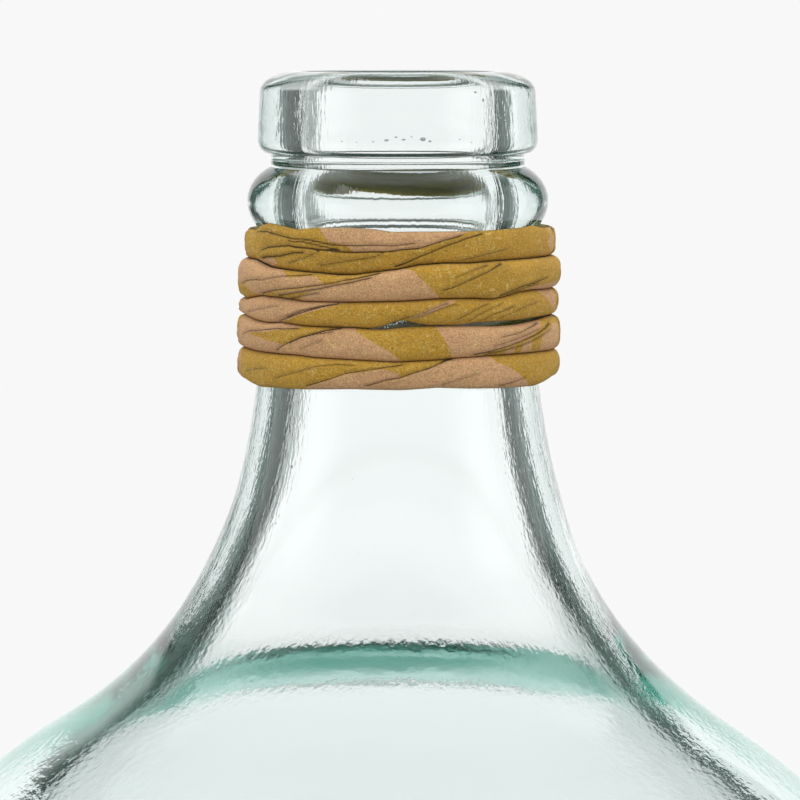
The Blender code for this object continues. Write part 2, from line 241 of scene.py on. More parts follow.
def turned_glass_nodes():
    """Geometry Nodes that turn a profile about the bottle's axis, shape its back and give it waves."""
    tree = bpy.data.node_groups.new("turned_glass", "GeometryNodeTree")
    for name, kind in (("Profile", "Geometry"), ("Spokes", "Int"), ("Wave Size", "Float"),
                       ("Wave Seed", "Float"), ("Glass", "Material")):
        tree.interface.new_socket(name, in_out="INPUT", socket_type="NodeSocket" + kind)
    tree.interface.new_socket("Wall", in_out="OUTPUT", socket_type="NodeSocketGeometry")
    given = add(tree, "NodeGroupInput").outputs
    rings = add(tree, "GeometryNodeAttributeDomainSize", [(given["Profile"], "Geometry")])
    columns = add(tree, "FunctionNodeIntegerMath", [(given["Spokes"], 0)], operation="ADD", input1=1)
    grid = add(tree, "GeometryNodeMeshGrid", [(rings.outputs["Point Count"], "Vertices X"),
                                              (columns, "Vertices Y")])
    index = add(tree, "GeometryNodeInputIndex")
    ring = add(tree, "FunctionNodeIntegerMath", [(index, 0), (columns, 1)], operation="DIVIDE_FLOOR")
    spoke = add(tree, "FunctionNodeIntegerMath", [(index, 0), (columns, 1)], operation="MODULO")
    step = add(tree, "ShaderNodeMath", [(given["Spokes"], 1)], operation="DIVIDE", input0=2 * math.pi)
    angle = add(tree, "ShaderNodeMath", [(spoke, 0), (step, 1)], operation="MULTIPLY")
    here = {}
    for name, kind in (("place", "FLOAT_VECTOR"), ("facing", "FLOAT_VECTOR"), ("wavy", "FLOAT"),
                       ("drift", "FLOAT"), ("lump", "FLOAT"), ("lean", "FLOAT"), ("ripple", "FLOAT")):
        named = add(tree, "GeometryNodeInputNamedAttribute", data_type=kind, Name=name)
        here[name] = add(tree, "GeometryNodeSampleIndex",
                         [(given["Profile"], "Geometry"), (ring, "Index"), (named, "Value")], data_type=kind)
        if kind == "FLOAT_VECTOR":
            here[name] = add(tree, "ShaderNodeVectorRotate", [(here[name], "Vector"), (angle, "Angle")],
                             rotation_type="Z_AXIS")
    scale = add(tree, "ShaderNodeMath", [(given["Wave Size"], 1)], operation="DIVIDE", input0=1.0)
    drawn_out = add(tree, "ShaderNodeVectorMath", [(here["place"], 0)], operation="MULTIPLY",
                    input1=(1, 1, WAVE_STRETCH))
    waves = add(tree, "ShaderNodeTexNoise",
                [(drawn_out, "Vector"), (scale, "Scale"), (given["Wave Seed"], "W")],
                noise_dimensions="4D", Detail=2.0, Roughness=0.45)
    centred = add(tree, "ShaderNodeMath", [(waves, 0)], operation="MULTIPLY_ADD", input1=2.0, input2=-1.0)
    wave = add(tree, "ShaderNodeMath", [(centred, 0), (here["wavy"], 1)], operation="MULTIPLY")
    rear = add(tree, "ShaderNodeMath", [(angle, 0)], operation="SINE")
    side = add(tree, "ShaderNodeMath", [(angle, 0)], operation="COSINE")
    rearward = add(tree, "ShaderNodeMath", [(rear, 0)], operation="MAXIMUM", input1=0.0)
    behind = add(tree, "ShaderNodeMath", [(rearward, 0), (rearward, 1)], operation="MULTIPLY")
    flank = add(tree, "ShaderNodeMath", [(side, 0), (side, 1)], operation="MULTIPLY")
    leftward = add(tree, "ShaderNodeMath", [(side, 0)], operation="MULTIPLY_ADD",
                   input1=(RIGHT_DRIFT - LEFT_DRIFT) / 2, input2=(RIGHT_DRIFT + LEFT_DRIFT) / 2)
    left_flank = add(tree, "ShaderNodeMath", [(flank, 0), (leftward, 1)], operation="MULTIPLY")
    drift = add(tree, "ShaderNodeMath", [(rear, 0), (left_flank, 1)], operation="MULTIPLY")
    push = add(tree, "ShaderNodeMath", [(drift, 0), (here["drift"], 1), (wave, 2)],
               operation="MULTIPLY_ADD")
    push = add(tree, "ShaderNodeMath", [(behind, 0), (here["lump"], 1), (push, 2)],
               operation="MULTIPLY_ADD")
    moved = add(tree, "ShaderNodeVectorMath", [(here["facing"], 0), (push, "Scale")], operation="SCALE")
    lean = add(tree, "ShaderNodeCombineXYZ", [(here["lean"], 0)])
    offset = add(tree, "ShaderNodeVectorMath", [(moved, 0), (lean, 1)], operation="ADD")
    shaped = add(tree, "GeometryNodeSetPosition",
                 [(grid, "Geometry"), (here["place"], "Position"), (offset, "Offset")])
    rippled = add(tree, "GeometryNodeStoreNamedAttribute",
                  [(shaped, "Geometry"), (here["ripple"], "Value")],
                  data_type="FLOAT", domain="POINT", Name="ripple")
    closed = add(tree, "GeometryNodeMergeByDistance", [(rippled, "Geometry")], Distance=MERGE_DISTANCE)
    smooth = add(tree, "GeometryNodeSetShadeSmooth", [(closed, "Geometry")])
    whole = add(tree, "GeometryNodeRealizeInstances", [(smooth, "Geometry")])
    glazed = add(tree, "GeometryNodeSetMaterial", [(whole, "Geometry"), (given["Glass"], "Material")])
    add(tree, "NodeGroupOutput", [(glazed, "Wall")])
    return tree


def new_material(name):
    """A new material, its node tree and its surface shader."""
    material = bpy.data.materials.new(name)
    material.use_nodes = True
    return material, material.node_tree, material.node_tree.nodes["Principled BSDF"]


def recycled_glass():
    """Recycled soda-lime glass: clear, bright and smooth, its iron showing as green where the path is long.

    A fine ripple, about 0.9 mm apart and drawn out down the bottle, breaks the edges of every dark and
    bright band, as on old blown glass.
    """
    glass, tree, shader = new_material("recycled_soda_lime_glass")
    shader.inputs["Base Color"].default_value = (1, 1, 1, 1)
    shader.inputs["Roughness"].default_value = 0.0
    shader.inputs["IOR"].default_value = GLASS_IOR
    shader.inputs["Transmission Weight"].default_value = 1.0
    place = add(tree, "ShaderNodeTexCoord").outputs["Object"]
    flat = add(tree, "ShaderNodeVectorMath", [(place, 0)], operation="MULTIPLY", input1=(1, 1, 0))
    round_neck = add(tree, "ShaderNodeVectorMath", [(flat, 0)], operation="NORMALIZE")
    spread = add(tree, "ShaderNodeVectorMath", [(round_neck, 0)], operation="SCALE", Scale=NECK_RADIUS)
    height = add(tree, "ShaderNodeSeparateXYZ", [(place, 0)]).outputs[2]
    radius = add(tree, "ShaderNodeVectorMath", [(flat, 0)], operation="LENGTH").outputs["Value"]
    outwards = add(tree, "ShaderNodeMath", [(radius, 0)], operation="MULTIPLY", input1=RIPPLE_SPREAD)
    drawn_down = add(tree, "ShaderNodeMath", [(height, 0), (outwards, 2)], operation="MULTIPLY_ADD",
                     input1=RIPPLE_STRETCH)
    upright = add(tree, "ShaderNodeCombineXYZ", [(drawn_down, 2)])
    drawn = add(tree, "ShaderNodeVectorMath", [(spread, 0), (upright, 1)], operation="ADD")
    ripple = add(tree, "ShaderNodeTexNoise", [(drawn, "Vector")], Scale=RIPPLES_A_METRE, Detail=2.0,
                 Roughness=0.5)
    depth = add(tree, "ShaderNodeAttribute", attribute_name="ripple").outputs["Fac"]
    lift = add(tree, "ShaderNodeMath", [(ripple, 0), (depth, 1)], operation="MULTIPLY")
    skin = add(tree, "ShaderNodeBump", [(lift, "Height")], Strength=1.0, Distance=1.0)
    tree.links.new(skin.outputs[0], shader.inputs["Normal"])
    iron = add(tree, "ShaderNodeVolumeAbsorption", Color=linear(IRON_GREEN), Density=IRON_DENSITY)
    tree.links.new(iron.outputs[0], tree.nodes["Material Output"].inputs["Volume"])
    return glass


neck_to_foot = neck_and_body()
outside = lip_and_bead() + neck_to_foot
rim_edge = FOOT_RADIUS - FOOT_WIDTH
base = [(TOP - PUSH_UP * (1 - (k / 16) ** 2), rim_edge * k / 16) for k in range(16, -1, -1)]
inside = bore(neck_to_foot)
outline = [(radius, TOP - depth) for depth, radius in inside[::-1] + outside[1:] + base]
profile = bpy.data.meshes.new("bottle_profile")
profile.from_pydata([(radius, 0.0, height) for radius, height in outline], [], [])
facings = []
for k in range(len(outline)):
    before, after = outline[max(0, k - 1)], outline[min(len(outline) - 1, k + 1)]
    way = Vector((after[0] - before[0], after[1] - before[1])).normalized()
    facings.append((-way.y, 0.0, way.x))
for name, inner, outer in (("lump", BACK_LUMP, UNMOVED), ("drift", SIDE_DRIFT, UNMOVED),
                           ("wavy", INNER_WAVES, OUTER_WAVES), ("lean", LEAN, LEAN),
                           ("ripple", INNER_RIPPLE, OUTER_RIPPLE)):
    numbers = [at_depth(inner if k < len(inside) else outer, TOP - height)
               for k, (_, height) in enumerate(outline)]
    profile.attributes.new(name, "FLOAT", "POINT").data.foreach_set("value", numbers)
places = [(radius, 0.0, height) for radius, height in outline]
for name, vectors in (("place", places), ("facing", facings)):
    profile.attributes.new(name, "FLOAT_VECTOR", "POINT").data.foreach_set("vector", np.ravel(vectors))


def grown(name, source, tree, inputs):
    """A plain mesh object made by a Geometry Nodes tree from a source mesh."""
    piece = bpy.data.objects.new(name, source)
    scene.collection.objects.link(piece)
    growth = piece.modifiers.new(name, "NODES")
    growth.node_group = tree
    for socket in tree.interface.items_tree:
        if socket.name in inputs:
            growth[socket.identifier] = inputs[socket.name]
    made = bpy.data.meshes.new_from_object(piece.evaluated_get(bpy.context.evaluated_depsgraph_get()))
    piece.modifiers.clear()
    piece.data = made
    made.name = name
    return piece


bottle = grown("blown_glass_bottle", profile, turned_glass_nodes(),
               {"Spokes": SPOKES, "Wave Size": WAVE_SIZE, "Wave Seed": 3.0, "Glass": recycled_glass()})

# Seeds: small air bubbles left in the wall, each a place in the photograph's pixels with its width and
# height in millimetres. About half lie in a row at the lip's foot, where hot glass folded when pressed.
SEEDS = ((340, 141, 0.5, 0.2), (355, 142, 0.4, 0.2), (372, 141.5, 0.5, 0.25), (386, 140, 1.0, 0.5),
         (396, 137, 0.6, 0.4), (404, 139.5, 0.9, 0.35), (412, 136.5, 0.4, 0.3), (424, 139, 1.3, 0.8),
         (431, 141, 0.7, 0.4), (462, 139, 0.5, 0.2), (474, 142, 0.4, 0.2), (486, 100, 0.5, 0.9),
         (478, 92, 0.7, 0.4), (351, 478, 0.22, 0.28), (358, 553, 0.22, 0.28), (455, 532, 0.2, 0.25),
         (415, 611, 0.25, 0.25), (515, 684, 0.4, 0.4), (289, 466, 0.6, 0.9), (273, 522, 0.4, 0.6),
         (436, 500, 0.2, 0.2), (300, 640, 0.3, 0.3), (560, 610, 0.3, 0.4))
SEED_DEPTH = 0.0016
MM = 0.001


def through_pixel(x, y):
    """The way from the camera through a pixel of the photograph."""
    pixel = FRAME_WIDTH / sight.length / PHOTO_PIXELS
    return camera_turn @ Vector(((x - PHOTO_PIXELS / 2) * pixel, (PHOTO_PIXELS / 2 - y) * pixel, -1.0))


blown = bmesh.new()
blown.from_mesh(bottle.data)
faces_before = BVHTree.FromBMesh(blown)
for x, y, width, height in SEEDS:
    hit, facing, _, _ = faces_before.ray_cast(camera.location, through_pixel(x, y))
    size = Matrix.Diagonal((width / 2 * MM, min(width, height) / 2 * MM, height / 2 * MM, 1.0))
    made = bmesh.ops.create_icosphere(blown, subdivisions=2, radius=1.0,
                                      matrix=Matrix.Translation(hit - facing * SEED_DEPTH) @ size)
    skin = {face for corner in made["verts"] for face in corner.link_faces}
    for face in skin:
        face.smooth = True
    bmesh.ops.reverse_faces(blown, faces=list(skin))
blown.to_mesh(bottle.data)
blown.free()
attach(bottle, "root")
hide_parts("glass_bottle")

# The cord: a strip of soft paper, dyed in blocks of mustard and dusty pink, loosely twisted and wound
# round the neck in five rows. Each row lies level and steps down to the next at the back.
# The twist gives it long shallow creases that climb to the right, with the strip folding over itself.
WRAP_RADIUS = 0.0355
WRAP_FOOT = 0.12
TURNS = 5
LEVEL_REACH = 137.0
MEASURED_REACH = 76.0
FRONT_STEP = 0.00042
BACK_STEP = 0.00085
OUTER_COLUMNS = 44
INNER_COLUMNS = 6
SQUARENESS = 2.7
SEAT_GAP = 0.0003
HALF_ROW = 0.0037
ROW_REACHES = (0.0343, 0.0360, 0.0354, 0.0358, 0.0358)
PATH_SAMPLES = 6001
SECTION_SAMPLES = 4001
SECTION_FLATNESS = 0.9

# The thick and thin places along the cord, the painted shade in its seams and on the face against the glass,
# its folds with their painted shade lines, how far past a line or a block the sums go, and where the front's
# own creases and blocks end, in degrees.
LUMP_LENGTHS = (0.0090, 0.0310, 0.0143)
LUMP_WANDER = 1.3
LUMP_SHIFT = 2.0
LUMP_DEPTH = 0.00025
INNER_FACE_SHADE = 0.6
SEAM_SHADE = 1.3
SEAM_SHADE_REACH = 0.5
FOLD_MARGIN = 0.003
FOLD_FADE = 2.5
FOLD_LIP = 0.45
FOLD_LIP_WIDTH = 0.0011
FOLD_SINK_WIDTH = 0.00055
FOLD_EDGE = (-0.0002, 0.0003)
FOLD_TAPER = 0.07
LINE_SHIFT = 0.00010
LINE_WIDTH = 0.00045
LINE_DARKNESS = 0.89
LINE_DARKENING = 0.0040
DYE_MARGIN = 0.002
FAR_FROM_PINK = -0.004
FRONT_EDGE = 84.0
FRONT_FADE = 8.0
FINE_REACH = 85.0

# The dyes, each from deep to faded, the painted shade of the folds and of the side against the glass, and the
# paper's grain.
MUSTARD = ("#AC822B", "#CEA23C")
PINK = ("#C09268", "#DEB084")
FOLD_SHADE = "#2A1C08"
PALE_FIBRE = "#F0D489"
INNER_SIDE_PAINTED_SHADE = "#827B2C"
SPECKLES_A_METRE = 3300.0
CLOUDS_A_METRE = 120.0
PLEATS_A_METRE = (120.0, 1100.0, 1.0)
PLEAT_LAY = math.radians(18)
DYE_BLEED = 0.0003
DYE_BORDER = (0.00010, 0.00022)
NAP_HEIGHT = 0.00012

# The edges of the rows, as places in the photograph's pixels: a row lies between an upper and a lower one.
TOP_EDGE = ((246, 230), (252, 226), (262, 223), (275, 226), (290, 229.5), (310, 228), (345, 228),
            (372, 229.5), (392, 232.3), (420, 232), (465, 231.7), (490, 231), (510, 229.5), (528, 228),
            (540, 225.5), (552, 228))
FIRST_SEAM = ((248, 260), (265, 268), (285, 271), (312, 273.5), (335, 275.5), (352, 275.5), (372, 273),
              (396, 270.5), (420, 265.8), (445, 264), (475, 263.8), (500, 261.5), (530, 259.5), (549, 257.5))
SECOND_SEAM = ((241, 299), (257, 295.5), (275, 297.5), (300, 301.5), (345, 302.5), (402, 301.5), (440, 299),
               (475, 298.5), (495, 299.5), (508, 297), (522, 292.3), (536, 290), (552, 289))
THIRD_EDGE = ((242, 315), (252, 320.5), (263, 323), (278, 322.5), (297, 326), (330, 327.5), (352, 327.8),
              (370, 329), (384, 326.5), (394, 322.5), (404, 321), (415, 323.5), (430, 326), (462, 325.5),
              (476, 323.5), (490, 322.5), (520, 320.8), (540, 318), (552, 316))
FOURTH_TOP = THIRD_EDGE[:5] + ((330, 327.7), (352, 328.3), (370, 329.5), (385, 329.8), (400, 328), (415, 327),
                               (430, 326.5), (462, 326.2), (480, 326.3), (500, 326.5), (520, 325),
                               (540, 321), (552, 317))
FOURTH_SEAM = ((243, 348.5), (258, 352), (275, 354), (295, 355.5), (312, 358), (335, 359.3), (365, 361),
               (395, 362.5), (420, 361.5), (440, 360.3), (458, 358.5), (490, 356), (520, 354),
               (545, 351.5), (556, 350))
BOTTOM_EDGE = ((240, 377), (248, 383.5), (256, 387), (275, 388.5), (297, 389.7), (351, 389.7), (402, 390.8),
               (439, 388.3), (472, 389.1), (504, 388.6), (526, 387.3), (539, 386), (548, 382), (556, 376))
UPPER_EDGES = (TOP_EDGE, FIRST_SEAM, SECOND_SEAM, FOURTH_TOP, FOURTH_SEAM)
LOWER_EDGES = (FIRST_SEAM, SECOND_SEAM, THIRD_EDGE, FOURTH_SEAM, BOTTOM_EDGE)

# The creases of the front, each with its row, its depth in millimetres and its line in the photograph's
# pixels.
# The paper below the line lies on top where the depth is positive, and else the paper above it; a painted
# shade line runs along each.
CREASES = (
    (0, 0.5, ((250, 259), (256, 251), (264, 248), (286, 246.5), (312, 250), (345, 253), (380, 253),
              (402, 250.5), (420, 249.3), (445, 241.5), (466, 236), (480, 232))),
    (0, 0.25, ((246, 234), (262, 232.5), (280, 237.5), (300, 240), (325, 245), (345, 246.5),
               (402, 245.8), (430, 243))),
    (0, 0.2, ((280, 240), (300, 243), (322, 248), (340, 251))),
    (0, -0.35, ((253, 258), (262, 256), (276, 255.5), (290, 252.5), (304, 252))),
    (0, 0.18, ((282, 264), (300, 259), (320, 251))),
    (0, 0.15, ((312, 267), (345, 262), (372, 258), (388, 253))),
    (0, 0.45, ((388, 269), (402, 265.5), (412, 261.5), (430, 254), (448, 246.5), (470, 239), (492, 233))),
    (0, 0.14, ((462, 261.5), (486, 256), (515, 249))),
    (1, 0.3, ((236, 287), (243, 283.5), (262, 280.5), (282, 276.5), (300, 276), (318, 274.5))),
    (1, 0.5, ((255, 296), (285, 289.5), (308, 287), (325, 285), (345, 280.5), (370, 276), (390, 271.5))),
    (1, -0.3, ((272, 296.5), (300, 291.5), (320, 288.5), (335, 285), (360, 280), (378, 276))),
    (1, -0.2, ((262, 297), (285, 299), (300, 296), (322, 292))),
    (1, 0.35, ((438, 293), (455, 287), (475, 278), (495, 268.5), (507, 262.5))),
    (1, 0.14, ((452, 279), (475, 270), (492, 265))),
    (1, 0.3, ((498, 298), (512, 292), (532, 284), (548, 277))),
    (1, 0.2, ((506, 297), (524, 289), (540, 283))),
    (2, 0.5, ((274, 323), (286, 318.5), (300, 313.5), (320, 307.5), (342, 303.5))),
    (2, -0.25, ((282, 317.5), (300, 310.5), (318, 306.5), (334, 304))),
    (2, 0.3, ((398, 322), (415, 316), (432, 309.5), (452, 302.5))),
    (2, -0.2, ((410, 318.5), (430, 312.5), (445, 307), (460, 303))),
    (2, 0.28, ((455, 321), (470, 314), (482, 307.5), (492, 303))),
    (2, 0.22, ((468, 323), (480, 315), (494, 308), (506, 302.5))),
    (2, -0.18, ((478, 323), (494, 314), (516, 305))),
    (2, 0.14, ((498, 319), (520, 310), (540, 302))),
    (2, 0.14, ((246, 312), (262, 309), (280, 306))),
    (3, 0.3, ((243, 336), (250, 331.5), (265, 330), (282, 329.5), (302, 328.5))),
    (3, 0.5, ((272, 353), (285, 345), (300, 338), (311, 334.5), (325, 331), (344, 328.5))),
    (3, -0.2, ((288, 344), (302, 337), (318, 333.5), (336, 331))),
    (3, 0.16, ((298, 350), (315, 343.5), (324, 340))),
    (3, 0.4, ((468, 357), (490, 352), (506, 347), (521, 341), (536, 334), (546, 327), (552, 320))),
    (3, 0.22, ((498, 338), (515, 334.5), (530, 328), (542, 322))),
    (3, -0.22, ((480, 355.5), (500, 351), (520, 345), (538, 336), (550, 327))),
    (3, 0.18, ((490, 347.5), (508, 342), (526, 335), (540, 328))),
    (4, 0.16, ((246, 372), (256, 369.5), (268, 368))),
    (4, 0.2, ((272, 380), (300, 372), (315, 367), (335, 365), (360, 366))),
    (4, 0.35, ((300, 388), (315, 384), (330, 379.5), (345, 374), (365, 371), (388, 367.5), (410, 364))),
    (4, 0.5, ((360, 388), (375, 384), (386, 380.5), (401, 378), (415, 373), (430, 368.5), (446, 361.5),
              (460, 358))),
    (4, 0.14, ((440, 386), (462, 379), (480, 373))),
    (4, 0.2, ((498, 387), (514, 382.5), (527, 377))),
)

# The pink blocks of the front, each with its row and its outline in the photograph's pixels.
PINK_BLOCKS = (
    (0, ((310, 222), (325, 242), (345, 246), (352, 252.5), (402, 250.5), (420, 249), (446, 241.5),
         (482, 229), (484, 222))),
    (0, ((252, 258.5), (268, 257.5), (272, 263.5), (262, 268), (250, 262))),
    (0, ((553, 222), (556, 232), (552, 242), (556, 252), (570, 250), (570, 222))),
    (1, ((228, 262), (262, 262), (276, 268), (288, 277), (262, 280.5), (243, 283.5), (228, 288))),
    (1, ((246, 284), (286, 278), (315, 276), (324, 284.5), (300, 288), (285, 290), (256, 296), (249, 288))),
    (1, ((270, 294), (320, 286), (338, 283), (320, 290), (290, 293.5))),
    (1, ((300, 296), (320, 289), (345, 281.5), (372, 276), (396, 268), (412, 270), (425, 283),
         (440, 298), (436, 310), (300, 310))),
    (1, ((532, 287.5), (545, 284), (556, 280), (568, 284), (560, 294), (530, 294))),
    (2, ((228, 296), (296, 296), (330, 302), (344, 303), (322, 309), (300, 315), (274, 325), (228, 325))),
    (2, ((404, 320), (430, 308), (452, 300), (460, 300), (440, 309), (412, 319))),
    (2, ((542, 286), (566, 286), (566, 318), (558, 314), (552, 304), (544, 294))),
    (3, ((228, 312), (252, 318), (286, 322), (300, 328), (282, 330), (250, 332), (228, 340))),
    (3, ((228, 338), (250, 332), (262, 337.5), (275, 342), (284, 344.5), (272, 356), (228, 356))),
    (3, ((272, 353), (285, 345), (300, 338), (311, 334.5), (325, 331), (351, 326), (357, 332.5),
         (370, 340), (390, 352), (408, 366), (340, 366), (272, 364))),
    (3, ((433, 320), (438, 330), (446, 343), (458, 366), (470, 358), (490, 352.5), (506, 347.5),
         (521, 341), (532, 334), (541, 326), (546, 316))),
    (3, ((506, 350), (514, 346), (516, 356), (506, 358))),
    (3, ((521, 343), (530, 338), (531, 352), (522, 355))),
    (3, ((540, 334), (552, 322), (570, 326), (570, 352), (540, 356))),
    (4, ((300, 389), (315, 384.5), (330, 380), (345, 374.5), (365, 371.5), (384, 369), (398, 373),
         (401, 378), (386, 380.5), (375, 384), (360, 388.5), (360, 396), (300, 396))),
    (4, ((360, 389), (375, 384), (401, 378), (415, 373), (430, 368.5), (446, 361.5), (460, 350),
         (488, 352), (496, 361.5), (510, 368), (525, 379), (540, 396), (360, 396))),
    (4, ((228, 352), (241, 352), (242, 364), (240, 374), (228, 374))),
)

# The creases and pink blocks of the sides and the back, as ranges that the dice draw from.
FIRST_TURN = -LEVEL_REACH
LAST_TURN = 360.0 * (TURNS - 1) + LEVEL_REACH
WRAP_START = math.radians(FIRST_TURN) * WRAP_RADIUS
WRAP_END = math.radians(LAST_TURN) * WRAP_RADIUS
CREASE_SPACING = 0.0115
CREASE_SPREAD = (0.6, 1.5)
CREASE_DEPTHS = (0.5, 0.45, 0.3, -0.3, 0.2, 0.15)
LAY = 0.068
CLIMB = (0.28, 0.5)
WANDER = 0.0003
CREASE_STEPS = 6
CREASE_REACH = 1.02
PAIRED = 0.45
PAIR_DEPTH = 0.15
PAIR_SHIFT = (0.004, 0.0003)
PINK_SPACING = 0.078
PINK_SPREAD = (0.75, 1.2)
PINK_LENGTH = (0.35, 0.6)
PINK_SLANT = 0.006
SLANT_SPREAD = (0.6, 1.4)
PINK_ENDS = ((-1.4, 1.4), (-1.4, 0.2), (-0.2, 1.4), (-1.4, 1.4))


def on_wrap(x, y):
    """Degrees round from the front, and depth below the lip, of the wrap at a pixel of the photograph."""
    ray = through_pixel(x, y)
    start = camera.location
    flat = ray.x ** 2 + ray.y ** 2
    middle = -(start.x * ray.x + start.y * ray.y) / flat
    missed = start.x ** 2 + start.y ** 2 - WRAP_RADIUS ** 2
    reach = middle - math.sqrt(max(0.0, middle ** 2 - missed / flat))
    hit = start + ray * reach
    return math.degrees(math.atan2(hit.x, -hit.y)), TOP - hit.z


def edge_depths(edges, row, turn):
    """Depth of a row's edge at degrees from the front, held level beyond what the photograph shows."""
    places = np.array([on_wrap(*pixel) for pixel in edges[row]])
    return np.interp(np.clip(turn, -MEASURED_REACH, MEASURED_REACH), places[:, 0], places[:, 1])


def eased(share):
    """A share from zero to one, eased at both ends."""
    return share * share * (3 - 2 * share)


def row_edges(edges, turn):
    """Depth of the cord's edge at degrees along it from the first row's front, with the steps at the back."""
    turn = np.asarray(turn, float)
    depth = np.zeros_like(turn)
    for row in range(TURNS):
        here = turn - 360.0 * row
        level = np.abs(here) <= LEVEL_REACH
        depth[level] = edge_depths(edges, row, here[level])
        if row < TURNS - 1:
            stepping = (here > LEVEL_REACH) & (here < 360.0 - LEVEL_REACH)
            share = eased((here[stepping] - LEVEL_REACH) / (360.0 - 2 * LEVEL_REACH))
            high = edge_depths(edges, row, np.full(share.shape, MEASURED_REACH))
            low = edge_depths(edges, row + 1, np.full(share.shape, -MEASURED_REACH))
            depth[stepping] = high + (low - high) * share
    return depth


def on_cord(row, x, y):
    """Metres along the cord and below its middle line of a pixel of the photograph."""
    turn, depth = on_wrap(x, y)
    turn += 360.0 * row
    upper = float(row_edges(UPPER_EDGES, [turn])[0])
    lower = float(row_edges(LOWER_EDGES, [turn])[0])
    return math.radians(turn) * WRAP_RADIUS, (2 * depth - upper - lower) / (lower - upper) * HALF_ROW


def hidden_creases():
    """Creases by rule for the sides and the back: each climbs from the row's foot to its top."""
    dice = random.Random(11)
    creases = []
    along = WRAP_START
    while along < WRAP_END:
        climb = LAY * dice.uniform(*CLIMB)
        depth = dice.choice(CREASE_DEPTHS)
        points = []
        for share in (k / CREASE_STEPS for k in range(CREASE_STEPS + 1)):
            height = HALF_ROW * (math.cos(math.pi * share) * CREASE_REACH)
            points.append((along + climb * share, height + dice.uniform(-WANDER, WANDER)))
        creases.append((depth, points))
        if dice.random() < PAIRED:
            creases.append((PAIR_DEPTH, [(x + PAIR_SHIFT[0], y + PAIR_SHIFT[1]) for x, y in points[1:-1]]))
        along += CREASE_SPACING * dice.uniform(*CREASE_SPREAD)
    return creases


def stretch(points, along, margin):
    """The part of the cord's length that a line or an outline lies on, with a margin at both ends."""
    ends = (min(points)[0] - margin, max(points)[0] + margin)
    return slice(*np.searchsorted(along[:, 0], ends))


def front_share(along):
    """One where the photograph shows the cord, falling to zero at the sides."""
    turn = np.degrees(np.asarray(along) / WRAP_RADIUS)
    from_front = np.abs((turn + 180.0) % 360.0 - 180.0)
    return np.clip((FRONT_EDGE - from_front) / FRONT_FADE, 0.0, 1.0)


def hidden_pinks():
    """Pink blocks by rule for the sides and the back, their ends slanting down to the right."""
    dice = random.Random(4)
    blocks = []
    along = WRAP_START
    while along < WRAP_END:
        length = PINK_SPACING * dice.uniform(*PINK_LENGTH)
        slant = PINK_SLANT * dice.uniform(*SLANT_SPREAD)
        top, foot = dice.choice(PINK_ENDS)
        blocks.append([(along - slant, top * HALF_ROW), (along + length - slant, top * HALF_ROW),
                       (along + length + slant, foot * HALF_ROW), (along + slant, foot * HALF_ROW)])
        along += PINK_SPACING * dice.uniform(*PINK_SPREAD)
    return blocks


def from_segment(start, end, along, down):
    """Distance of places from a straight line between two points, and the share of it passed there."""
    wide, tall = end[0] - start[0], end[1] - start[1]
    right, below = along - start[0], down - start[1]
    share = np.clip((right * wide + below * tall) / (wide ** 2 + tall ** 2), 0.0, 1.0)
    return np.hypot(right - share * wide, below - share * tall), share


def line_distance(points, along, down):
    """Signed distance of places from a line (positive below it), and the share of its length there."""
    best = np.full(along.shape, 1.0)
    side = np.ones_like(along)
    share = np.zeros_like(along)
    lengths = [math.dist(a, b) for a, b in zip(points, points[1:])]
    passed = 0.0
    for start, end, length in zip(points, points[1:], lengths):
        gap, part = from_segment(start, end, along, down)
        closer = gap < best
        best = np.where(closer, gap, best)
        below = (end[0] - start[0]) * (down - start[1]) - (end[1] - start[1]) * (along - start[0])
        side = np.where(closer, np.sign(below), side)
        share = np.where(closer, (passed + part * length) / sum(lengths), share)
        passed += length
    return best * side, share


def inside_distance(points, along, down):
    """Distance of places from a closed outline, positive inside it."""
    best = np.full(along.shape, 1.0)
    crossings = np.zeros(along.shape, int)
    for start, end in zip(points, points[1:] + points[:1]):
        best = np.minimum(best, from_segment(start, end, along, down)[0])
        if start[1] != end[1]:
            crossing = start[0] + (down - start[1]) * (end[0] - start[0]) / (end[1] - start[1])
            crossings += ((start[1] > down) != (end[1] > down)) & (along < crossing)
    return np.where(crossings % 2 == 1, best, -best)


glass_depths, glass_radii = zip(*[p for p in outside if NECK_FOOT - BEAD_FALL <= p[0] < WRAP_FOOT])


